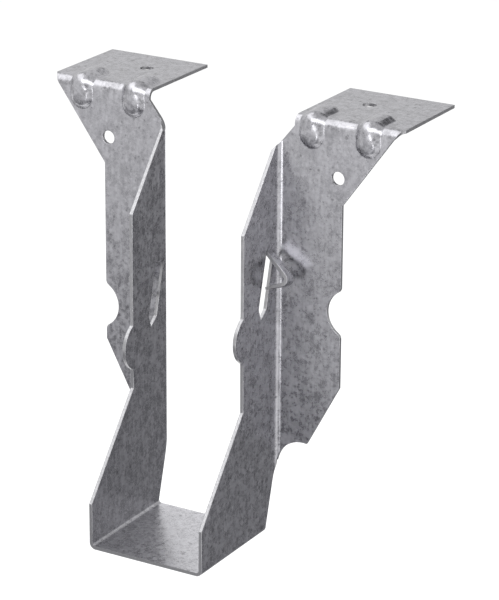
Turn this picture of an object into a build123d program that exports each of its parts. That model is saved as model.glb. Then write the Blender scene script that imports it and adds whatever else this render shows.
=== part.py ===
"""Top-flange joist hanger for a 38 mm joist, folded from one galvanised sheet, in millimetres.

X runs across the joist, +Y runs into the header that carries the hanger, and +Z is up.
The origin is the middle of the face that the joist's end sits on.
"""

import os
from math import cos, pi, radians, sin, sqrt, tan

from build123d import *

# Sheet, and the inside radius of each kind of bend
sheet = 1.2
seat_bend = 1.0
fold_bend = 1.8
top_bend = 1.8

# Seat, and the gap between it and the header
joist_width = 39.7
seat_length = 40.0
seat_gap = 7.1

# Heights above the seat
hang_height = 138.0
nose_height = 14.4
fold_foot = 22.3

# Side plates: the narrow stretch, and the sloping cuts above and below it
waist_width = 22.1
waist_land = 6.5
shoulder_below_flange = 33.5
shoulder_slope = 51.4

# Face plates, measured from the middle of the joist
plate_reach = 43.8
plate_slope = 54.1
taper_land = 4.5
toe_reach = 32.3
toe_height = 30.1
relief_radius = 9.4

# Top flanges
flange_inner = 26.6
flange_outer = 63.8
flange_depth = 34.6
neck_drop = 2.3
neck_slope = 51.0

# Lobes on the side plates, and notches of the same radius in the face plates
lobe_radius = 8.1
lobe_inset = 3.35
lobe_below_guide = 3.8
lobe_corner = 1.0
notch_lip = 2.0
notch_heights = {"right": 76.8, "left": 63.5}

# Nail guides: a pointed tongue pushed out of its slot and folded back over it
guide_tips = {"right": 73.5, "left": 63.4}
guide_setback = 11.2
guide_tilt = 14.5
guide_width = 4.8
guide_point = 3.5
shear_gap = 0.25
point_gap = 1.2
tongue_rise = 12.8
tongue_rise_angle = 51.0
tongue_return = 10.1
tongue_return_angle = 21.0
tongue_root_bend = 0.6
tongue_tip_bend = 1.0

# Stiffening beads pressed out over the top bends
bead_width = 8.4
bead_rise = 1.7
bead_flank = 50.0
bead_foot_round = 1.0
bead_crest_round = 1.5
bead_inner_margin = 6.1
bead_outer_margin = 11.4
bead_drop = 8.6
bead_run = 12.3

# Nail holes, set in from the middle of the flange towards the joist
nail_hole = 4.4
face_nail_inset = 3.0
face_nail_drop = 17.0
top_nail_inset = 4.0
top_nail_run = 20.5

# Places worked out from the sizes above
middle = sheet / 2
inner = joist_width / 2
outer = inner + sheet
front = -seat_length / 2
seat_rear = seat_length / 2
header = seat_rear + seat_gap
face = header - sheet
waist = header - waist_width
lobe_half_height = sqrt(lobe_radius**2 - lobe_inset**2)
waist_foot = min(guide_tips.values()) - lobe_below_guide - lobe_half_height - waist_land
flange_middle = (flange_inner + flange_outer) / 2
flange_width = flange_outer - flange_inner
fold_middle = outer + fold_bend * (1 - sqrt(0.5))
bend_y = header + top_bend
bend_z = hang_height - top_bend
over_top_bend = Axis((0, bend_y, bend_z), (-1, 0, 0))
beyond = 1.0


def side_outline(lobe_height):
    """Outline of a side plate seen along X, left open to the face plate behind it."""
    shoulder = hang_height - shoulder_below_flange
    with BuildSketch(Plane.YZ) as outline:
        with BuildLine():
            Polyline(
                (front, -sheet),
                (front, nose_height),
                (waist, waist_foot),
                (waist, shoulder),
                (face, shoulder + (face - waist) * tan(radians(shoulder_slope))),
                (face, hang_height),
                (header + beyond, hang_height),
                (header + beyond, fold_foot),
                (face, fold_foot),
                (seat_rear, seat_bend),
                (seat_rear, -sheet),
                close=True,
            )
        make_face()
        with Locations((waist + lobe_inset, lobe_height)):
            Circle(lobe_radius)
        corners = outline.vertices().sort_by_distance((waist, lobe_height))[:2]
        fillet(corners, radius=lobe_corner)
    return outline.sketch


def plate_top_reach():
    """Reach of a face plate where its top bend starts, with the slope unfolded over the bend."""
    unfolded = (top_bend + middle) * pi / 2
    return flange_outer - unfolded / tan(radians(plate_slope))


def front_outline(notch_height):
    """Outline of a face plate seen along Y, left open to the side plate beside it."""
    neck = hang_height - neck_drop
    shoulder = bend_z - (plate_top_reach() - plate_reach) * tan(radians(plate_slope))
    taper_top = min(notch_heights.values()) - lobe_half_height - taper_land
    with BuildSketch(Plane.XZ.offset(-header - beyond)) as outline:
        with BuildLine():
            Polyline(
                (fold_middle, fold_foot),
                (fold_middle, -sheet),
                (0, -sheet),
                (0, neck - flange_inner * tan(radians(neck_slope))),
                (flange_inner, neck),
                (flange_inner, bend_z),
                (plate_top_reach(), bend_z),
                (plate_reach, shoulder),
                (plate_reach, taper_top),
                (toe_reach, toe_height),
            )
            RadiusArc((toe_reach, toe_height), (fold_middle, fold_foot), -relief_radius)
        make_face()
        with Locations((plate_reach + lobe_inset, notch_height)):
            Circle(lobe_radius, mode=Mode.SUBTRACT)
        lips = outline.vertices().sort_by_distance((plate_reach, notch_height))[:2]
        fillet(lips, radius=notch_lip)
    return outline.sketch


def folded_wall(hand):
    """Side plate, fold and face plate on the +X side, with the heights of the given hand."""
    with BuildPart() as wall:
        with BuildSketch(Plane.XY.offset(seat_bend)):
            with BuildLine():
                FilletPolyline(
                    (inner + middle, front),
                    (inner + middle, header - middle),
                    (flange_outer, header - middle),
                    radius=fold_bend + middle,
                )
            trace(line_width=sheet)
        extrude(amount=bend_z - seat_bend)
        extrude(
            front_outline(notch_heights[hand]),
            amount=header - front + 2 * beyond,
            mode=Mode.INTERSECT,
        )
        extrude(
            side_outline(guide_tips[hand] - lobe_below_guide),
            amount=flange_outer + beyond,
            mode=Mode.INTERSECT,
        )
        nail_place = (flange_middle - face_nail_inset, face, hang_height - face_nail_drop)
        with Locations(Plane(nail_place, z_dir=(0, -1, 0))):
            Hole(nail_hole / 2, depth=sheet)
    return wall.part


def top_flange():
    """Top flange on the +X side, with its bend cut to run on from the plate's slope."""
    nail_place = (flange_middle - top_nail_inset, header + top_nail_run, hang_height + sheet)
    with BuildPart() as flange:
        with BuildSketch(Plane.XY.offset(bend_z)):
            with Locations((flange_middle, header - middle)):
                Rectangle(flange_width, sheet)
        revolve(axis=over_top_bend, revolution_arc=90)
        nearest, farthest = top_bend / 2, 2 * (top_bend + sheet)
        with BuildSketch(Plane.XY.offset(bend_z)):
            with Locations((plate_top_reach(), bend_y - nearest)):
                Rectangle(flange_width, farthest - nearest, align=(Align.MIN, Align.MAX))
        with BuildSketch((-Plane.XZ).offset(bend_y)):
            with Locations((flange_outer, -bend_z - nearest)):
                Rectangle(flange_width, farthest - nearest, align=(Align.MIN, Align.MAX))
        loft(ruled=True, mode=Mode.SUBTRACT)
        with BuildSketch(Plane.XY.offset(hang_height)):
            with Locations((flange_middle, bend_y)):
                Rectangle(flange_width, flange_depth - top_bend, align=(Align.CENTER, Align.MIN))
        extrude(amount=sheet)
        with Locations(nail_place):
            Hole(nail_hole / 2, depth=sheet)
    return flange.part


def bead_section(plane, inset, whole=True):
    """Section across a bead, drawn outwards from the back of the sheet.

    An inset of nothing gives the outer skin, and an inset of one sheet gives the hollow behind it.
    """
    skin = sheet - inset
    shift = inset * tan(radians(bead_flank / 2))
    foot = bead_width / 2 - shift
    crest = bead_width / 2 - bead_rise / tan(radians(bead_flank)) - shift
    skirt = bead_width / 2 + bead_foot_round
    with BuildSketch(plane) as section:
        with BuildLine():
            FilletPolyline(
                (skirt, skin),
                (foot, skin),
                (crest, skin + bead_rise),
                (0, skin + bead_rise),
                radius=(bead_foot_round + inset, 0 if inset else bead_crest_round),
            )
            Polyline((0, skin + bead_rise), (0, skin - middle), (skirt, skin - middle), (skirt, skin))
        make_face()
        if whole:
            mirror(about=Plane.YZ)
    return section.sketch


def bead_form(reach, inset):
    """A bead's skin or hollow: round end, straight, top bend, straight, round end."""
    plate_end = hang_height - bead_drop + bead_width / 2
    flange_end = header + bead_run - bead_width / 2
    down = Plane((reach, header, bend_z), x_dir=(1, 0, 0), z_dir=(0, 0, -1))
    back = Plane((reach, bend_y, hang_height), x_dir=(-1, 0, 0), z_dir=(0, 1, 0))
    with BuildPart() as form:
        extrude(bead_section(down, inset), amount=bend_z - plate_end)
        extrude(bead_section(back, inset), amount=flange_end - bend_y)
        revolve(bead_section(down, inset), axis=over_top_bend, revolution_arc=90)
        revolve(
            bead_section(down.offset(bend_z - plate_end), inset, whole=False),
            axis=Axis((reach, header, plate_end), (0, 1, 0)),
            revolution_arc=180,
        )
        revolve(
            bead_section(back.offset(flange_end - bend_y), inset, whole=False),
            axis=Axis((reach, flange_end, hang_height), (0, 0, -1)),
            revolution_arc=180,
        )
    return form.part


def guide_path():
    """Line along the middle of a tongue's metal: outwards down the slot, and back over it."""
    root_radius = tongue_root_bend + middle
    tip_radius = tongue_tip_bend + middle
    rise, back = radians(tongue_rise_angle), radians(tongue_return_angle)
    corner = root_radius * tan(rise / 2)
    tip = (tongue_rise * sin(rise) - middle, corner + tongue_rise * cos(rise))
    end = (tip[0] - tongue_return * cos(back), tip[1] + tongue_return * sin(back))
    with BuildLine() as path:
        FilletPolyline(
            (-middle, -sheet), (-middle, corner), tip, end, radius=(root_radius, tip_radius)
        )
    return path.wire()


def guide_length():
    """Length of a slot: that of its tongue laid flat, and a gap beyond the tongue's point."""
    return guide_path().length - sheet + point_gap


def guide_plane(hand):
    """Plane through the top of a slot, its X outwards, its Y down along the slot."""
    tilt = radians(guide_tilt)
    slot_length = guide_length()
    top_y = header - guide_setback + slot_length * sin(tilt)
    top_z = guide_tips[hand] + slot_length * cos(tilt)
    return Plane((outer, top_y, top_z), x_dir=(1, 0, 0), z_dir=(0, cos(tilt), -sin(tilt)))


def guide_slot(hand):
    """Pointed slot that the tongue leaves in the side plate."""
    slot_length = guide_length()
    half = guide_width / 2
    plane = guide_plane(hand)
    with BuildPart() as slot:
        with BuildSketch(Plane(plane.origin, x_dir=plane.y_dir, z_dir=(1, 0, 0))):
            with BuildLine():
                Polyline(
                    (0, half),
                    (slot_length - guide_point, half),
                    (slot_length, 0),
                    (slot_length - guide_point, -half),
                    (0, -half),
                    close=True,
                )
            make_face()
        extrude(amount=2 * sheet, both=True)
    return slot.part


def guide_tongue(hand):
    """Tongue of a nail guide, joined to the plate at the top of its slot."""
    half = guide_width / 2
    plane = guide_plane(hand)
    path = guide_path()
    end, heading = path @ 1, path % 1
    end_plane = Plane(
        plane.from_local_coords(end),
        x_dir=plane.from_local_coords(heading) - plane.origin,
        z_dir=plane.from_local_coords(Vector(-heading.Y, heading.X)) - plane.origin,
    )
    with BuildPart() as tongue:
        with BuildSketch(plane):
            trace(path, line_width=sheet)
        extrude(amount=half - shear_gap, both=True)
        with BuildSketch(end_plane):
            with BuildLine():
                Polyline(
                    (0, 0),
                    (-guide_point, half),
                    (sheet, half),
                    (sheet, -half),
                    (-guide_point, -half),
                    close=True,
                )
            make_face()
        extrude(amount=sheet, both=True, mode=Mode.SUBTRACT)
    return tongue.part


def wing(hand):
    """All that lies on the +X side of the seat, with the heights of the given hand."""
    bead_reaches = (flange_inner + bead_inner_margin, flange_outer - bead_outer_margin)
    with BuildPart() as side:
        add(folded_wall(hand))
        add(top_flange())
        for reach in bead_reaches:
            add(bead_form(reach, 0))
        for reach in bead_reaches:
            add(bead_form(reach, sheet), mode=Mode.SUBTRACT)
        add(guide_slot(hand), mode=Mode.SUBTRACT)
        add(guide_tongue(hand))
    return side.part


with BuildPart() as joist_hanger:
    with BuildSketch(Plane.XZ.offset(-seat_rear)):
        with BuildLine():
            FilletPolyline(
                (-inner - middle, nose_height),
                (-inner - middle, -middle),
                (inner + middle, -middle),
                (inner + middle, nose_height),
                radius=seat_bend + middle,
            )
        trace(line_width=sheet)
    extrude(amount=seat_length)
    add(wing("right"))
    mirror(wing("left"), about=Plane.YZ)

joist_hanger.part.label = "joist_hanger"
os.makedirs("parts", exist_ok=True)
export_step(joist_hanger.part, "parts/joist_hanger.step")
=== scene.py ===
"""Looks of a top-flange joist hanger: its galvanised sheet, a plain studio and the camera.

All lengths are in metres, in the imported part's frame: X runs across the joist, +Y runs into
the header that carries the hanger, and +Z is up. The origin is on the seat's upper face.
"""

import logging
import math
from dataclasses import dataclass, field
from enum import Enum

import bmesh
import bpy
import numpy as np
from mathutils import Matrix, Vector


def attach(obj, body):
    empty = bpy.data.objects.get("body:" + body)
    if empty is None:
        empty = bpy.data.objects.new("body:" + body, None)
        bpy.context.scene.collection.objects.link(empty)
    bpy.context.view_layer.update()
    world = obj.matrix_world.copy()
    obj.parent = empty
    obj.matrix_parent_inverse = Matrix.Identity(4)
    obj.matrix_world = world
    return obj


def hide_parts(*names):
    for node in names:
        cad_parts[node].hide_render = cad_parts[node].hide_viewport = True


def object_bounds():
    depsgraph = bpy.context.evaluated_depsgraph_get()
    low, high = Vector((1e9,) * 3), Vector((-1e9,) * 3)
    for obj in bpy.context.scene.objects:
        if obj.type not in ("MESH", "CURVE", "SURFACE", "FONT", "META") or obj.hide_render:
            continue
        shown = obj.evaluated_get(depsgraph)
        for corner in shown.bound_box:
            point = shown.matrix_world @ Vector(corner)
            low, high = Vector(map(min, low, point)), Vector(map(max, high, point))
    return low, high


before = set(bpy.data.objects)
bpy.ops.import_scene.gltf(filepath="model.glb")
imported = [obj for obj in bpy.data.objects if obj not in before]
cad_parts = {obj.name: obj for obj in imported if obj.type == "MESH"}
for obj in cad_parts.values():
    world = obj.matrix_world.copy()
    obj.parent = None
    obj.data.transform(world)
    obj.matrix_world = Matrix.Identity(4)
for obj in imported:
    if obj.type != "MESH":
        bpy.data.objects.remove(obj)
CAD_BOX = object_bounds()

LOG = logging.getLogger("joist_hanger")
MM = 0.001
NODE = "joist_hanger"
SMALLEST_LENGTH = 1e-9

Colour = tuple[float, float, float, float]


class Surface(Enum):
    """The two kinds of surface that a folded sheet shows, with their material index."""

    SKIN = 0
    SHEARED = 1


# Node trees


@dataclass
class NodeBoard:
    """A node tree with short ways to add and join its nodes."""

    tree: bpy.types.NodeTree

    def add(self, kind: str, **settings: object) -> bpy.types.Node:
        """Adds one node and gives it its settings.

        Args:
            kind: the node's type name.
            settings: the node's properties by name.

        Returns:
            The new node.
        """
        node = self.tree.nodes.new(kind)
        for name, value in settings.items():
            setattr(node, name, value)
        return node

    def feed(self, socket: bpy.types.NodeSocket, value: object) -> None:
        """Joins an output to a socket, or sets the socket's own value."""
        if isinstance(value, bpy.types.NodeSocket):
            self.tree.links.new(value, socket)
        else:
            socket.default_value = value

    def math(self, operation: str, *values: object) -> bpy.types.NodeSocket:
        """Adds one Math node.

        Args:
            operation: the sum to do, such as MULTIPLY.
            values: outputs or numbers, in the sum's order.

        Returns:
            The result's output.
        """
        node = self.add("ShaderNodeMath", operation=operation)
        for socket, value in zip(node.inputs, values):
            self.feed(socket, value)
        return node.outputs[0]

    def remap(
        self, value: object, low: float, high: float, to_low: float = 0.0, to_high: float = 1.0
    ) -> bpy.types.NodeSocket:
        """Carries a range of values smoothly onto another one.

        Args:
            value: the output that is read.
            low: the value that becomes to_low.
            high: the value that becomes to_high.
            to_low: the result at low and beyond it.
            to_high: the result at high and beyond it.

        Returns:
            The result's output.
        """
        node = self.add("ShaderNodeMapRange", interpolation_type="SMOOTHSTEP")
        for socket, entry in zip(node.inputs, (value, low, high, to_low, to_high)):
            self.feed(socket, entry)
        return node.outputs["Result"]

    def stretch(self, vector: object, scale: tuple[float, float, float]) -> bpy.types.NodeSocket:
        """Scales a place by a factor along each axis."""
        node = self.add("ShaderNodeMapping")
        self.feed(node.inputs["Vector"], vector)
        node.inputs["Scale"].default_value = scale
        return node.outputs["Vector"]

    def noise(
        self, vector: object, scale: object, detail: float, roughness: float
    ) -> bpy.types.NodeSocket:
        """Adds fractal noise, from 0 to 1 around 0.5.

        Args:
            vector: the place to read.
            scale: blotches for each metre.
            detail: octaves of finer noise.
            roughness: strength of each finer octave.

        Returns:
            The noise's value.
        """
        node = self.add("ShaderNodeTexNoise")
        self.feed(node.inputs["Vector"], vector)
        self.feed(node.inputs["Scale"], scale)
        node.inputs["Detail"].default_value = detail
        node.inputs["Roughness"].default_value = roughness
        return node.outputs["Fac"]

    def bend(self, vector: object, scale: object, reach: float) -> bpy.types.NodeSocket:
        """Shifts a place by noise, so that a pattern read there gets uneven outlines.

        Args:
            vector: the place to shift.
            scale: swings for each metre.
            reach: the largest shift along each axis.

        Returns:
            The shifted place.
        """
        swing = self.add("ShaderNodeTexNoise")
        self.feed(swing.inputs["Vector"], vector)
        self.feed(swing.inputs["Scale"], scale)
        shifted = self.add("ShaderNodeVectorMath", operation="MULTIPLY_ADD")
        self.feed(shifted.inputs[0], swing.outputs["Color"])
        shifted.inputs[1].default_value = (reach, reach, reach)
        self.feed(shifted.inputs[2], vector)
        return shifted.outputs["Vector"]

    def cells(self, vector: object, scale: object) -> bpy.types.Node:
        """Adds a pattern of cells with a size of one over the scale."""
        node = self.add("ShaderNodeTexVoronoi", feature="F1")
        self.feed(node.inputs["Vector"], vector)
        self.feed(node.inputs["Scale"], scale)
        return node

    def mix(self, kind: str, share: object, low: object, high: object) -> bpy.types.NodeSocket:
        """Blends two values or two colours.

        Args:
            kind: FLOAT for values, RGBA for colours.
            share: how much of high is taken, from 0 to 1.
            low: the entry at a share of 0.
            high: the entry at a share of 1.

        Returns:
            The blend's output.
        """
        node = self.add("ShaderNodeMix", data_type=kind)
        for name, entry in (("Factor", share), ("A", low), ("B", high)):
            self.feed(node.inputs[name], entry)
        return node.outputs["Result"]

    def bump(self, height: object, distance: float, normal: object = None) -> bpy.types.NodeSocket:
        """Adds a bump.

        Args:
            height: the relief, from 0 to 1.
            distance: the real height of a relief of 1.
            normal: the output of a bump that lies under this one, if any.

        Returns:
            The bumped normal.
        """
        node = self.add("ShaderNodeBump")
        node.inputs["Distance"].default_value = distance
        self.feed(node.inputs["Height"], height)
        if normal is not None:
            self.feed(node.inputs["Normal"], normal)
        return node.outputs["Normal"]


@dataclass
class EffectGroup:
    """A shader node group with named inputs and outputs, built once and placed where it is needed."""

    name: str
    tree: bpy.types.NodeTree = field(init=False)
    board: NodeBoard = field(init=False)
    source: bpy.types.Node = field(init=False)
    sink: bpy.types.Node = field(init=False)

    def __post_init__(self) -> None:
        """Starts the group's tree with its two end nodes."""
        self.tree = bpy.data.node_groups.new(self.name, "ShaderNodeTree")
        self.board = NodeBoard(self.tree)
        self.source = self.board.add("NodeGroupInput")
        self.sink = self.board.add("NodeGroupOutput")

    def takes(self, name: str, value: float | None = None) -> bpy.types.NodeSocket:
        """Adds a named input.

        Args:
            name: the input's name.
            value: its usual value, or None for a place.

        Returns:
            The output that carries the input inside the group.
        """
        kind = "NodeSocketVector" if value is None else "NodeSocketFloat"
        socket = self.tree.interface.new_socket(name, in_out="INPUT", socket_type=kind)
        if value is not None:
            socket.default_value = value
        return self.source.outputs[name]

    def gives(self, name: str, value: bpy.types.NodeSocket) -> None:
        """Adds a named output that carries a value out of the group."""
        self.tree.interface.new_socket(name, in_out="OUTPUT", socket_type="NodeSocketFloat")
        self.board.feed(self.sink.inputs[name], value)

    def place(self, board: NodeBoard, **values: object) -> bpy.types.Node:
        """Puts the group into a material.

        Args:
            board: the material's board.
            values: outputs or numbers by the input's name.

        Returns:
            The group's node.
        """
        node = board.add("ShaderNodeGroup", node_tree=self.tree)
        for name, value in values.items():
            board.feed(node.inputs[name], value)
        return node


@dataclass(frozen=True)
class ZincSpangle:
    """The zinc's spangle: cloudy blotches, fine grain and faint crystals.

    The three are added by their shares. The ranges say which values become the darkest and the
    lightest tone, for the sum and for the clouds alone.
    """

    clouds_per_metre: float = 330.0
    grains_per_metre: float = 1100.0
    crystals_per_metre: float = 900.0
    crystal_bend: float = 0.0004
    crystal_share: float = 0.14
    cloud_share: float = 0.50
    grain_share: float = 0.36
    tone_range: tuple[float, float] = (0.33, 0.66)
    cloud_range: tuple[float, float] = (0.36, 0.62)

    def build(self) -> EffectGroup:
        """Builds the group.

        Returns:
            A group that gives the tone and the clouds, from 0 to 1, and the height of the crystals.
        """
        group = EffectGroup("zinc_spangle")
        board = group.board
        place = group.takes("Place")
        cloud_size = group.takes("Clouds per metre", self.clouds_per_metre)
        grain_size = group.takes("Grains per metre", self.grains_per_metre)
        crystal_size = group.takes("Crystals per metre", self.crystals_per_metre)
        crystals = board.cells(board.bend(place, crystal_size, self.crystal_bend), crystal_size)
        clouds = board.noise(place, cloud_size, detail=4.0, roughness=0.62)
        grain = board.noise(place, grain_size, detail=3.0, roughness=0.7)
        total = board.math("MULTIPLY", crystals.outputs["Color"], self.crystal_share)
        for tone, share in ((clouds, self.cloud_share), (grain, self.grain_share)):
            total = board.math("MULTIPLY_ADD", tone, share, total)
        group.gives("Tone", board.remap(total, *self.tone_range))
        group.gives("Clouds", board.remap(clouds, *self.cloud_range))
        group.gives("Height", board.math("SUBTRACT", 1.0, crystals.outputs["Distance"]))
        return group


@dataclass(frozen=True)
class DarkSpecks:
    """Dark specks: small ragged pits in a share of the cells of a pattern.

    The radius and its soft edge are in cells, and each speck's radius is multiplied by a random
    factor from radius_range. The share has a soft edge too, so that some specks are fainter.
    """

    cells_per_metre: float = 620.0
    share: float = 0.42
    radius: float = 0.30
    radius_range: tuple[float, float] = (0.5, 1.3)
    ragged_bend: float = 0.0005
    ragged_swings: float = 2.5
    outer_edge: float = 0.10
    inner_edge: float = -0.06
    share_edge: tuple[float, float] = (-0.05, 0.12)

    def build(self) -> EffectGroup:
        """Builds the group.

        Returns:
            A group that gives a mask of 1 inside a speck.
        """
        group = EffectGroup("dark_specks")
        board = group.board
        place = group.takes("Place")
        size = group.takes("Cells per metre", self.cells_per_metre)
        share = group.takes("Share", self.share)
        radius = group.takes("Radius", self.radius)
        swings = board.math("MULTIPLY", size, self.ragged_swings)
        cell = board.cells(board.bend(place, swings, self.ragged_bend), size)
        pick = board.add("ShaderNodeSeparateColor")
        board.feed(pick.inputs["Color"], cell.outputs["Color"])
        factor = board.remap(pick.outputs["Green"], 0.0, 1.0, *self.radius_range)
        reach = board.math("MULTIPLY", radius, factor)
        beyond = board.math("SUBTRACT", cell.outputs["Distance"], reach)
        inside = board.remap(beyond, self.outer_edge, self.inner_edge)
        spare = board.math("SUBTRACT", share, pick.outputs["Red"])
        chosen = board.remap(spare, *self.share_edge)
        group.gives("Mask", board.math("MULTIPLY", inside, chosen))
        return group


@dataclass(frozen=True)
class RollingStreaks:
    """The faint rolling streaks that run up and down the sheet."""

    streaks_per_metre: float = 900.0
    squeeze: tuple[float, float, float] = (1.0, 1.0, 0.16)
    tone_range: tuple[float, float] = (0.32, 0.68)

    def build(self) -> EffectGroup:
        """Builds the group.

        Returns:
            A group that gives a tone from 0 to 1.
        """
        group = EffectGroup("rolling_streaks")
        board = group.board
        place = group.takes("Place")
        size = group.takes("Streaks per metre", self.streaks_per_metre)
        streaks = board.noise(board.stretch(place, self.squeeze), size, detail=4.0, roughness=0.65)
        group.gives("Tone", board.remap(streaks, *self.tone_range))
        return group


@dataclass(frozen=True)
class SheetWaves:
    """The slow waviness of a thin rolled sheet."""

    waves_per_metre: float = 45.0

    def build(self) -> EffectGroup:
        """Builds the group.

        Returns:
            A group that gives a height from 0 to 1.
        """
        group = EffectGroup("sheet_waves")
        place = group.takes("Place")
        size = group.takes("Waves per metre", self.waves_per_metre)
        group.gives("Height", group.board.noise(place, size, detail=1.0, roughness=0.4))
        return group


@dataclass(frozen=True)
class Effects:
    """The node groups that the finishes are made of."""

    spangle: EffectGroup
    specks: EffectGroup
    streaks: EffectGroup
    waves: EffectGroup

    @classmethod
    def build(cls) -> "Effects":
        """Builds every group."""
        return cls(*(kind().build() for kind in (ZincSpangle, DarkSpecks, RollingStreaks, SheetWaves)))


# Finishes


def start_material(name: str) -> tuple[bpy.types.Material, NodeBoard, bpy.types.Node]:
    """Starts a material.

    Args:
        name: the material's name.

    Returns:
        The material, its board and its shader.
    """
    material = bpy.data.materials.new(name)
    material.use_nodes = True
    return material, NodeBoard(material.node_tree), material.node_tree.nodes["Principled BSDF"]


@dataclass(frozen=True)
class GalvanisedFinish:
    """Hot-dip galvanised skin: a half-matt grey metal with fine spangle, specks and streaks.

    The roughness goes from low in the darkest tone to high in the lightest. The specks' share
    goes from high in the dark clouds to low in the light ones.
    """

    name: str = "galvanised_skin"
    dark: Colour = (0.25, 0.248, 0.264, 1.0)
    light: Colour = (0.53, 0.527, 0.555, 1.0)
    speck: Colour = (0.17, 0.168, 0.18, 1.0)
    metallic: float = 1.0
    roughness_low: float = 0.22
    roughness_high: float = 0.36
    spangle_height: float = 0.0000015
    wave_height: float = 0.00003
    streak_strength: float = 0.28
    speck_strength: float = 0.65
    speck_share_low: float = 0.06
    speck_share_high: float = 0.45

    def build(self, effects: Effects) -> bpy.types.Material:
        """Builds the material.

        Args:
            effects: the node groups.

        Returns:
            The new material.
        """
        material, board, shader = start_material(self.name)
        place = board.add("ShaderNodeTexCoord").outputs["Object"]
        spangle = effects.spangle.place(board, Place=place)
        clouds = spangle.outputs["Clouds"]
        share = board.remap(clouds, 0.0, 1.0, self.speck_share_high, self.speck_share_low)
        specks = effects.specks.place(board, Place=place, Share=share)
        streaks = effects.streaks.place(board, Place=place)
        waves = effects.waves.place(board, Place=place)

        tone = board.mix("FLOAT", self.streak_strength, spangle.outputs["Tone"], streaks.outputs["Tone"])
        metal = board.mix("RGBA", tone, self.dark, self.light)
        depth = board.math("MULTIPLY", specks.outputs["Mask"], self.speck_strength)
        board.feed(shader.inputs["Base Color"], board.mix("RGBA", depth, metal, self.speck))
        roughness = board.remap(tone, 0.0, 1.0, self.roughness_low, self.roughness_high)
        board.feed(shader.inputs["Roughness"], roughness)
        shader.inputs["Metallic"].default_value = self.metallic

        slow = board.bump(waves.outputs["Height"], self.wave_height)
        fine = board.bump(spangle.outputs["Height"], self.spangle_height, slow)
        board.feed(shader.inputs["Normal"], fine)
        return material


@dataclass(frozen=True)
class ShearedFinish:
    """Sheared edge of the sheet: bare metal, more even in tone than the skin, with fine marks."""

    name: str = "sheared_edge"
    dark: Colour = (0.32, 0.319, 0.33, 1.0)
    light: Colour = (0.42, 0.418, 0.432, 1.0)
    metallic: float = 1.0
    roughness_low: float = 0.28
    roughness_high: float = 0.42
    marks_per_metre: float = 2200.0
    mark_height: float = 0.000002

    def build(self, effects: Effects) -> bpy.types.Material:
        """Builds the material.

        Args:
            effects: the node groups.

        Returns:
            The new material.
        """
        material, board, shader = start_material(self.name)
        place = board.add("ShaderNodeTexCoord").outputs["Object"]
        marks = effects.streaks.place(board, Place=place, **{"Streaks per metre": self.marks_per_metre})
        tone = marks.outputs["Tone"]
        board.feed(shader.inputs["Base Color"], board.mix("RGBA", tone, self.dark, self.light))
        roughness = board.remap(tone, 0.0, 1.0, self.roughness_high, self.roughness_low)
        board.feed(shader.inputs["Roughness"], roughness)
        shader.inputs["Metallic"].default_value = self.metallic
        board.feed(shader.inputs["Normal"], board.bump(tone, self.mark_height))
        return material


# The folded sheet


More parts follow.
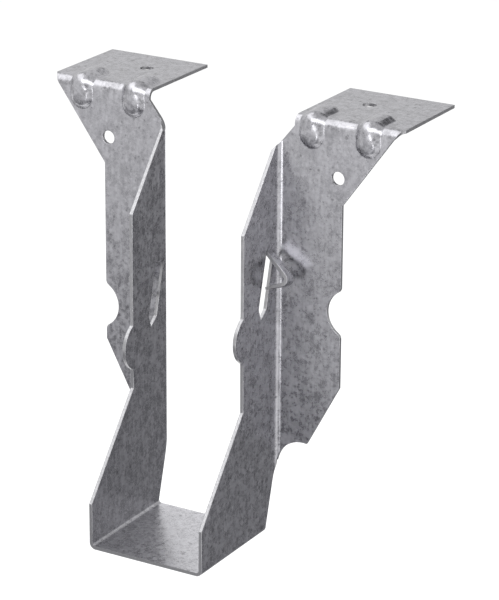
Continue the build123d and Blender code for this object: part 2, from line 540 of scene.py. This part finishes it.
@dataclass
class TriangleMesh:
    """Points and triangles as whole arrays, with what can be measured on them."""

    points: np.ndarray
    triangles: np.ndarray

    @classmethod
    def from_object(cls, source: bpy.types.Object) -> "TriangleMesh":
        """Reads an object's mesh as it stands.

        Args:
            source: the object to read.

        Returns:
            Its points and triangles.
        """
        mesh = source.data
        mesh.calc_loop_triangles()
        triangles = np.empty(len(mesh.loop_triangles) * 3, np.int64)
        mesh.loop_triangles.foreach_get("vertices", triangles)
        return cls(read_points(mesh), triangles.reshape(-1, 3))

    def welded(self, step: float) -> "TriangleMesh":
        """Merges the points that round to the same multiple of a step, and drops collapsed triangles.

        Args:
            step: the rounding, in metres.

        Returns:
            The merged mesh.
        """
        rounded = np.round(self.points / step)
        _, first, inverse = np.unique(rounded, axis=0, return_index=True, return_inverse=True)
        triangles = inverse.reshape(-1)[self.triangles]
        a, b, c = triangles.T
        return TriangleMesh(self.points[first], triangles[(a != b) & (b != c) & (a != c)])

    def normals(self) -> np.ndarray:
        """Gives each triangle's normal, as long as twice its area: the cross product of two sides."""
        a, b, c = (self.points[self.triangles[:, i]] for i in range(3))
        return np.cross(b - a, c - a)

    def shared_edges(self) -> tuple[np.ndarray, np.ndarray]:
        """Finds the two triangles on each edge of the closed mesh.

        Returns:
            Each edge's two points, and its two triangles.
        """
        sides = np.sort(self.triangles[:, [0, 1, 1, 2, 2, 0]].reshape(-1, 2), axis=1)
        owners = np.repeat(np.arange(len(self.triangles)), 3)
        order = np.lexsort((sides[:, 1], sides[:, 0]))
        return sides[order][::2], owners[order].reshape(-1, 2)

    def smooth_regions(self, limit: float) -> np.ndarray:
        """Numbers the regions that are bounded by sharp edges.

        Each triangle takes the lowest number among those that it meets at a flat enough edge,
        over and over, until nothing changes.

        Args:
            limit: the largest turn between two triangles of one region, in radians.

        Returns:
            The region's number for each triangle.
        """
        normals = self.normals()
        normals /= np.linalg.norm(normals, axis=1, keepdims=True)
        _, pairs = self.shared_edges()
        turn = np.einsum("ij,ij->i", normals[pairs[:, 0]], normals[pairs[:, 1]])
        one, other = pairs[turn > math.cos(limit)].T
        label = np.arange(len(self.triangles))
        while True:
            lowest = np.minimum(label[one], label[other])
            fresh = label.copy()
            np.minimum.at(fresh, one, lowest)
            np.minimum.at(fresh, other, lowest)
            fresh = fresh[fresh]
            if (fresh == label).all():
                return label
            label = fresh

    def mean_widths(self, label: np.ndarray) -> np.ndarray:
        """Measures how wide each triangle's region is: twice its area over its outline's length.

        Args:
            label: the region's number for each triangle.

        Returns:
            The width for each triangle, in metres.
        """
        areas = np.bincount(label, np.linalg.norm(self.normals(), axis=1) / 2, len(label))
        edges, pairs = self.shared_edges()
        lengths = np.linalg.norm(self.points[edges[:, 0]] - self.points[edges[:, 1]], axis=1)
        rim = label[pairs[:, 0]] != label[pairs[:, 1]]
        outline = np.bincount(label[pairs[rim, 0]], lengths[rim], len(label))
        outline += np.bincount(label[pairs[rim, 1]], lengths[rim], len(label))
        return (2 * areas / np.maximum(outline, SMALLEST_LENGTH))[label]

    def to_mesh(self, name: str, slots: np.ndarray) -> bpy.types.Mesh:
        """Makes a Blender mesh.

        Args:
            name: the mesh's name.
            slots: the material index for each triangle.

        Returns:
            The new mesh.
        """
        mesh = bpy.data.meshes.new(name)
        mesh.from_pydata(self.points, (), self.triangles)
        mesh.polygons.foreach_set("material_index", slots)
        mesh.update()
        return mesh


def read_points(mesh: bpy.types.Mesh) -> np.ndarray:
    """Reads a mesh's points, one to a row."""
    points = np.empty(len(mesh.vertices) * 3)
    mesh.vertices.foreach_get("co", points)
    return points.reshape(-1, 3)


def ease(share: np.ndarray) -> np.ndarray:
    """Eases shares from 0 to 1: flat at both ends, 0 below 0 and 1 above 1."""
    share = np.clip(share, 0, 1)
    return share**2 * (3 - 2 * share)


@dataclass
class BeadCrown:
    """The rounder form of the beads: domed over the top bend, and flatter towards the plate's end.

    A bead runs down the face plate, over the bend and back along the flange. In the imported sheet
    its section is full height out to crest_half on both sides of its middle line, and slopes
    down to nothing at half_width. The new section reaches foot_spread times as far out.

    The dome is mixed in by the share crown at the bend. It is gone at one over plate_fade of the
    run down the plate, and at one over flange_fade of the run along the flange.
    """

    sheet: float
    reaches: tuple[float, ...] = (-52.4 * MM, -32.7 * MM, 32.7 * MM, 52.4 * MM)
    header: float = 27.1 * MM
    hang_height: float = 138.0 * MM
    bend: float = 1.8 * MM
    rise: float = 1.7 * MM
    half_width: float = 4.2 * MM
    crest_half: float = 2.77 * MM
    plate_end: float = 133.6 * MM
    flange_end: float = 35.2 * MM
    skirt: float = 5.3 * MM
    cut_half: float = 4.4 * MM
    cell: float = 0.55 * MM
    snap: float = 0.05 * MM
    slack_below: float = 0.01 * MM
    slack_above: float = 0.05 * MM
    bulge: float = 0.35 * MM
    crown: float = 0.8
    plate_rise: float = 0.86
    foot_spread: float = 1.05
    plate_fade: float = 3
    flange_fade: float = 1.6
    dome_power: float = 1.5
    plate_fullness: int = 6
    flange_fullness: int = 4

    @property
    def bend_y(self) -> float:
        """Y of the bend's middle."""
        return self.header + self.bend

    @property
    def bend_z(self) -> float:
        """Z of the bend's middle."""
        return self.hang_height - self.bend

    def refine(self, mesh: bpy.types.Mesh) -> None:
        """Cuts the beads' faces into small cells, and gives them their rounder form.

        Args:
            mesh: the sheet's mesh, which is changed.
        """
        form = bmesh.new()
        form.from_mesh(mesh)
        for reach in self.reaches:
            self.cut_cells(form, reach)
        form.to_mesh(mesh)
        form.free()
        points = read_points(mesh)
        for reach in self.reaches:
            self.reshape(points, reach)
        mesh.vertices.foreach_set("co", points.ravel())
        mesh.update()

    def cut_cells(self, form: bmesh.types.BMesh, reach: float) -> None:
        """Cuts one bead's faces beside its middle line, down the plate and along the flange.

        Args:
            form: the mesh that is cut.
            reach: the X of the bead's middle line.
        """
        across = np.arange(-self.cut_half, self.cut_half + self.cell / 2, self.cell)
        plate = np.arange(self.plate_end - self.skirt, self.bend_z, self.cell)
        flange = np.arange(self.bend_y, self.flange_end + self.skirt, self.cell)
        cuts = [(Vector((reach + x, 0, 0)), Vector((1, 0, 0))) for x in across]
        cuts += [(Vector((0, 0, z)), Vector((0, 0, 1))) for z in plate]
        cuts += [(Vector((0, y, 0)), Vector((0, 1, 0))) for y in flange]
        for place, normal in cuts:
            faces = [face for face in form.faces if self.holds(face.calc_center_median(), reach)]
            parts = {part for face in faces for part in (*face.verts, *face.edges)}
            bmesh.ops.bisect_plane(
                form, geom=faces + list(parts), dist=self.snap, plane_co=place, plane_no=normal
            )

    def holds(self, place: Vector, reach: float) -> bool:
        """Tells whether a place lies within one bead's own area."""
        return (
            abs(place.x - reach) < self.skirt
            and self.plate_end - self.skirt < place.z
            and place.y < self.flange_end + self.skirt
        )

    def section(
        self, side: np.ndarray, down: np.ndarray, along: np.ndarray, on_plate: np.ndarray
    ) -> np.ndarray:
        """Gives the hump's height at each point, as a share of its full height.

        Args:
            side: the distance from the bead's middle line or, past its ends, from the line's end.
            down: how far down the plate's stretch the point lies, from 0 to 1.
            along: how far along the flange's stretch the point lies, from 0 to 1.
            on_plate: whether the point lies on the plate.

        Returns:
            The share for each point, from 0 to 1.
        """
        spread = np.minimum(side / (self.half_width * self.foot_spread), 1)
        dome = self.crown * (1 - ease(down * self.plate_fade)) * (1 - ease(along * self.flange_fade))
        fullness = np.where(on_plate, self.plate_fullness, self.flange_fullness)
        return dome * (1 - spread**2) ** self.dome_power + (1 - dome) * (1 - spread**fullness) ** 2

    def reshape(self, points: np.ndarray, reach: float) -> None:
        """Moves one bead's points to their new height over the back of the sheet.

        The section is a smooth hump: a dome over the bend, and a fuller one along the plate and
        the flange. It gets lower towards the plate's end, and halfway round the bend it bulges,
        but never above the height of the flange's crest.

        Args:
            points: the mesh's points, which are changed.
            reach: the X of the bead's middle line.
        """
        x, y, z = points[:, 0] - reach, points[:, 1], points[:, 2]
        back, up = self.bend_y - y, z - self.bend_z
        on_plate, on_flange = up <= 0, back <= 0
        in_bend = ~on_plate & ~on_flange
        radius = np.hypot(back, up)
        height = np.where(in_bend, radius, np.where(on_plate, back, up)) - self.bend
        past_flange = np.where(on_flange, np.maximum(y - self.flange_end, 0), 0)
        run = np.where(on_plate, np.minimum(z - self.plate_end, 0), past_flange)
        side = np.hypot(x, run)
        inside = (side < self.skirt) & (z > self.plate_end - self.skirt) & (y < self.flange_end + self.skirt)
        inside &= (height > -self.slack_below) & (height < self.sheet + self.rise + self.slack_above)

        share = np.clip((self.half_width - side) / (self.half_width - self.crest_half), 0, 1)
        base = np.where(height > self.sheet / 2 + self.rise * share, self.sheet, 0)
        down = np.clip(-up / (self.bend_z - self.plate_end + self.half_width), 0, 1)
        along = np.clip(-back / (self.flange_end - self.bend_y + self.half_width), 0, 1)
        taper = 1 - (1 - self.plate_rise) * ease(down)
        angle = np.arctan2(up, back)
        bulge = np.where(in_bend, self.bulge * np.sin(2 * angle), 0)
        hump = (self.rise * taper + bulge) * self.section(side, down, along, on_plate)
        change = np.where(inside, base + hump - height, 0)
        out = np.stack([np.zeros_like(x), -np.cos(angle), np.sin(angle)], axis=1)
        out[on_plate] = (0, -1, 0)
        out[on_flange & ~on_plate] = (0, 0, 1)
        points += out * change[:, None]
        points[:, 2] = np.minimum(points[:, 2], self.hang_height + self.sheet + self.rise)


@dataclass
class HangerSheet:
    """The whole hanger: one sheet, cut, pressed and folded, with its sheared edges just rounded."""

    thickness: float
    weld_step: float = 0.001 * MM
    sharp_turn: float = math.radians(28)
    flat_turn: float = math.radians(0.5)
    edge_round: float = 0.15 * MM
    edge_steps: int = 2
    shortest_arris: float = 0.2 * MM
    rim_share: float = 1.35

    def build(self, source: bpy.types.Object) -> bpy.types.Object:
        """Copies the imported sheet, crowns its beads and rounds its sheared edges.

        A region that is narrower than rim_share times the thickness is a sheared edge.

        Args:
            source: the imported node, which is left as it is.

        Returns:
            The finished piece, with no material yet.
        """
        sheet = TriangleMesh.from_object(source).welded(self.weld_step)
        widths = sheet.mean_widths(sheet.smooth_regions(self.sharp_turn))
        narrow = widths < self.rim_share * self.thickness
        slots = np.where(narrow, Surface.SHEARED.value, Surface.SKIN.value)
        mesh = sheet.to_mesh("hanger_sheet", slots)
        self.merge_flats(mesh)
        BeadCrown(self.thickness).refine(mesh)
        mesh.shade_smooth()
        mesh.set_sharp_from_angle(angle=self.sharp_turn)
        self.mark_arrises(mesh)
        piece = bpy.data.objects.new("hanger_sheet", mesh)
        bpy.context.scene.collection.objects.link(piece)
        self.round_edges(piece)
        return piece

    def merge_flats(self, mesh: bpy.types.Mesh) -> None:
        """Joins the triangles that lie in one plane into larger faces.

        Args:
            mesh: the sheet's mesh, which is changed.
        """
        form = bmesh.new()
        form.from_mesh(mesh)
        bmesh.ops.dissolve_limit(
            form, angle_limit=self.flat_turn, verts=form.verts, edges=form.edges, delimit={"MATERIAL"}
        )
        form.to_mesh(mesh)
        form.free()

    def mark_arrises(self, mesh: bpy.types.Mesh) -> None:
        """Marks each edge that lies between the sheet's face and a sheared edge of it.

        Edges that are too short to be rounded cleanly stay sharp.

        Args:
            mesh: the sheet's mesh, which gets an edge weight of 1 there and 0 elsewhere.
        """
        slots = np.empty(len(mesh.polygons), dtype=np.int32)
        corners = np.empty(len(mesh.polygons), dtype=np.int32)
        edges = np.empty(len(mesh.loops), dtype=np.int32)
        mesh.polygons.foreach_get("material_index", slots)
        mesh.polygons.foreach_get("loop_total", corners)
        mesh.loops.foreach_get("edge_index", edges)
        slots = np.repeat(slots, corners)
        lowest = np.full(len(mesh.edges), Surface.SHEARED.value)
        highest = np.full(len(mesh.edges), Surface.SKIN.value)
        np.minimum.at(lowest, edges, slots)
        np.maximum.at(highest, edges, slots)
        ends = np.empty(len(mesh.edges) * 2, dtype=np.int32)
        mesh.edges.foreach_get("vertices", ends)
        start, end = read_points(mesh)[ends.reshape(-1, 2)].swapaxes(0, 1)
        arris = (lowest != highest) & (np.linalg.norm(end - start, axis=1) >= self.shortest_arris)
        weights = mesh.attributes.new("bevel_weight_edge", "FLOAT", "EDGE")
        weights.data.foreach_set("value", arris.astype(np.float32))

    def round_edges(self, piece: bpy.types.Object) -> None:
        """Adds the small round along each marked arris, and keeps the flats flat beside it.

        Args:
            piece: the piece that gets the round.
        """
        bevel = piece.modifiers.new("edge_round", "BEVEL")
        bevel.width = self.edge_round
        bevel.segments = self.edge_steps
        bevel.limit_method = "WEIGHT"
        bevel.use_clamp_overlap = False
        bevel.harden_normals = True
        bevel.miter_outer = "MITER_ARC"

    def dress(
        self, piece: bpy.types.Object, skin: bpy.types.Material, sheared: bpy.types.Material
    ) -> None:
        """Gives the piece its two finishes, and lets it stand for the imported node.

        Args:
            piece: the finished piece.
            skin: the finish of the sheet's two faces.
            sheared: the finish of its cut edges.
        """
        piece.data.materials.append(skin)
        piece.data.materials.append(sheared)
        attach(piece, "root")
        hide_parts(NODE)


# Studio and camera


class Tone(Enum):
    """The paint of the floor and of the cards that shape the reflections."""

    WHITE = (0.96, 0.96, 0.96, 1.0)
    PALE = (0.44, 0.44, 0.45, 1.0)
    GREY = (0.22, 0.22, 0.23, 1.0)
    DARK = (0.12, 0.12, 0.125, 1.0)


@dataclass
class Softbox:
    """A soft rectangular lamp that looks at the object."""

    name: str
    azimuth: float
    elevation: float
    distance: float
    width: float
    height: float
    brightness: float

    def build(self, target: Vector) -> bpy.types.Object:
        """Hangs the lamp.

        Args:
            target: the point that it looks at.

        Returns:
            The new lamp.
        """
        lamp = bpy.data.lights.new(self.name, "AREA")
        lamp.shape = "RECTANGLE"
        lamp.size = self.width
        lamp.size_y = self.height
        lamp.energy = self.brightness * math.pi * self.width * self.height
        lamp_object = bpy.data.objects.new(self.name, lamp)
        bpy.context.scene.collection.objects.link(lamp_object)
        away = direction(self.azimuth, self.elevation)
        lamp_object.location = target + away * self.distance
        lamp_object.rotation_euler = away.to_track_quat("Z", "Y").to_euler()
        lamp_object.visible_camera = False
        return lamp_object


@dataclass
class Card:
    """A flat card that only the object's reflections see."""

    name: str
    tone: Tone
    corners: np.ndarray

    @classmethod
    def lying(
        cls, name: str, tone: Tone, azimuth: float, near: float, far: float, width: float, height: float
    ) -> "Card":
        """Lays a card flat.

        Args:
            name: the card's name.
            tone: its paint.
            azimuth: the direction that it runs in, from the origin.
            near: where it starts.
            far: where it ends.
            width: its width.
            height: the height that it lies at.

        Returns:
            The card.
        """
        out = np.array(direction(azimuth, 0))
        side = np.array([-out[1], out[0], 0]) * width / 2
        corners = np.array([out * near - side, out * near + side, out * far + side, out * far - side])
        corners[:, 2] = height
        return cls(name, tone, corners)

    @classmethod
    def standing(
        cls, name: str, tone: Tone, left: float, right: float, depth: float, low: float, high: float
    ) -> "Card":
        """Stands a card up across the Y axis.

        Args:
            name: the card's name.
            tone: its paint.
            left: its lowest X.
            right: its highest X.
            depth: its Y.
            low: its lowest Z.
            high: its highest Z.

        Returns:
            The card.
        """
        corners = [(left, depth, low), (right, depth, low), (right, depth, high), (left, depth, high)]
        return cls(name, tone, np.array(corners))

    def build(self) -> bpy.types.Object:
        """Makes the card.

        Returns:
            The new card.
        """
        paint = plain_material(self.name, self.tone.value, roughness=1.0)
        card = flat_object(self.name, self.corners, paint)
        card.visible_camera = False
        card.visible_diffuse = False
        card.visible_shadow = False
        return card


@dataclass
class Studio:
    """A plain pale floor under an even white sky, with soft lamps and a few cards."""

    target: Vector
    floor_drop: float = 0.16
    floor_size: float = 6.0
    card_lift: float = 0.002
    sky_strength: float = 0.92

    @property
    def floor_height(self) -> float:
        """Height of the floor, a little below the hanging object."""
        return CAD_BOX[0].z - self.floor_drop

    def build(self) -> None:
        """Builds the floor, the sky, the lamps and the cards."""
        half = self.floor_size / 2
        corners = np.array([(-half, -half, 0), (half, -half, 0), (half, half, 0), (-half, half, 0)])
        corners[:, 2] = self.floor_height
        flat_object("floor", corners, plain_material("floor_paint", Tone.WHITE.value, roughness=0.9))
        self.build_sky()
        for lamp in self.softboxes():
            lamp.build(self.target)
        for card in self.cards():
            card.build()

    def softboxes(self) -> list[Softbox]:
        """Lists the lamps.

        Returns:
            A wide key high in front at the right, a narrow one low in front, a small one low and
            close behind, and a wide one high at the left.
        """
        return [
            Softbox(
                "key_lamp", azimuth=24, elevation=42, distance=1.1,
                width=1.4, height=0.54, brightness=3.2,
            ),
            Softbox(
                "low_lamp", azimuth=9, elevation=-9, distance=0.6,
                width=0.1, height=0.3, brightness=4.8,
            ),
            Softbox(
                "back_lamp", azimuth=-150, elevation=-5, distance=0.17,
                width=0.14, height=0.05, brightness=1.15,
            ),
            Softbox(
                "top_lamp", azimuth=-70, elevation=56, distance=1.2,
                width=1.5, height=0.9, brightness=1.3,
            ),
        ]

    def cards(self) -> list[Card]:
        """Lists the cards.

        Returns:
            Three grey ones and a pale one lying over the floor, with the left and the right one a
            little higher than the others, and a dark one standing at the back right.
        """
        low = self.floor_height + self.card_lift
        high = low + self.card_lift
        return [
            Card.lying("back_card", Tone.GREY, azimuth=148, near=0.10, far=2.0, width=0.62, height=low),
            Card.lying("front_card", Tone.PALE, azimuth=-22, near=0.1, far=0.76, width=0.9, height=low),
            Card.lying("left_card", Tone.GREY, azimuth=-44, near=0.2, far=0.7, width=0.3, height=high),
            Card.lying("right_card", Tone.GREY, azimuth=32, near=0.12, far=0.56, width=0.28, height=high),
            Card.standing("dark_card", Tone.DARK, left=0.04, right=0.36, depth=0.2, low=0.2, high=0.4),
        ]

    def build_sky(self) -> None:
        """Makes the even white sky."""
        world = bpy.data.worlds.new("studio_sky")
        world.use_nodes = True
        sky = world.node_tree.nodes["Background"]
        sky.inputs["Color"].default_value = (1.0, 1.0, 1.0, 1.0)
        sky.inputs["Strength"].default_value = self.sky_strength
        bpy.context.scene.world = world


@dataclass
class PhotoCamera:
    """The photograph's view: its direction, its place and its focal length."""

    azimuth: float = 30.374
    elevation: float = 20.029
    roll: float = 0.359
    place: tuple[float, float, float] = (0.44271, -0.71094, 0.38664)
    focal_pixels: float = 2850.5
    long_side_pixels: float = 600.0

    def build(self) -> bpy.types.Object:
        """Sets the camera up and makes it the scene's own.

        Returns:
            The camera.
        """
        camera = bpy.data.cameras.new("photo_camera")
        camera.lens = self.focal_pixels / self.long_side_pixels * camera.sensor_width
        holder = bpy.data.objects.new("photo_camera", camera)
        bpy.context.scene.collection.objects.link(holder)
        back = direction(self.azimuth, self.elevation)
        right = Vector((0, 0, 1)).cross(back).normalized()
        up = back.cross(right)
        turn = Matrix((right, up, back)).transposed() @ Matrix.Rotation(math.radians(self.roll), 3, "Z")
        holder.matrix_world = Matrix.Translation(self.place) @ turn.to_4x4()
        bpy.context.scene.camera = holder
        return holder


def direction(azimuth: float, elevation: float) -> Vector:
    """Gives the direction from the object towards a viewer.

    Args:
        azimuth: degrees round from the front (-Y) towards +X.
        elevation: degrees above the horizon.

    Returns:
        A unit vector.
    """
    a, e = math.radians(azimuth), math.radians(elevation)
    return Vector((math.sin(a) * math.cos(e), -math.cos(a) * math.cos(e), math.sin(e)))


def flat_object(name: str, corners: np.ndarray, material: bpy.types.Material) -> bpy.types.Object:
    """Makes a flat four-sided object of the studio.

    Args:
        name: the object's name.
        corners: its four corners, in order.
        material: its material.

    Returns:
        The new object.
    """
    mesh = bpy.data.meshes.new(name)
    mesh.from_pydata(corners, (), [(0, 1, 2, 3)])
    mesh.materials.append(material)
    flat = bpy.data.objects.new(name, mesh)
    bpy.context.scene.collection.objects.link(flat)
    return flat


def plain_material(name: str, colour: Colour, roughness: float) -> bpy.types.Material:
    """Makes the plain material of a floor or a card.

    Args:
        name: the material's name.
        colour: its colour.
        roughness: its roughness.

    Returns:
        The new material.
    """
    material, _, shader = start_material(name)
    shader.inputs["Base Color"].default_value = colour
    shader.inputs["Roughness"].default_value = roughness
    shader.inputs["Specular IOR Level"].default_value = 0.0
    return material


def main() -> None:
    """Builds the hanger, the studio and the camera, and reports each piece."""
    logging.basicConfig(level=logging.INFO, format="%(message)s")
    effects = Effects.build()
    skin = GalvanisedFinish().build(effects)
    sheared = ShearedFinish().build(effects)
    sheet = HangerSheet(thickness=-CAD_BOX[0].z)
    piece = sheet.build(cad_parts[NODE])
    sheet.dress(piece, skin, sheared)
    LOG.info("%s: %d faces", piece.name, len(piece.data.polygons))
    middle = (CAD_BOX[0] + CAD_BOX[1]) / 2
    Studio(target=middle).build()
    PhotoCamera().build()
    bpy.context.scene.view_settings.view_transform = "Standard"


if __name__ == "__main__":
    main()
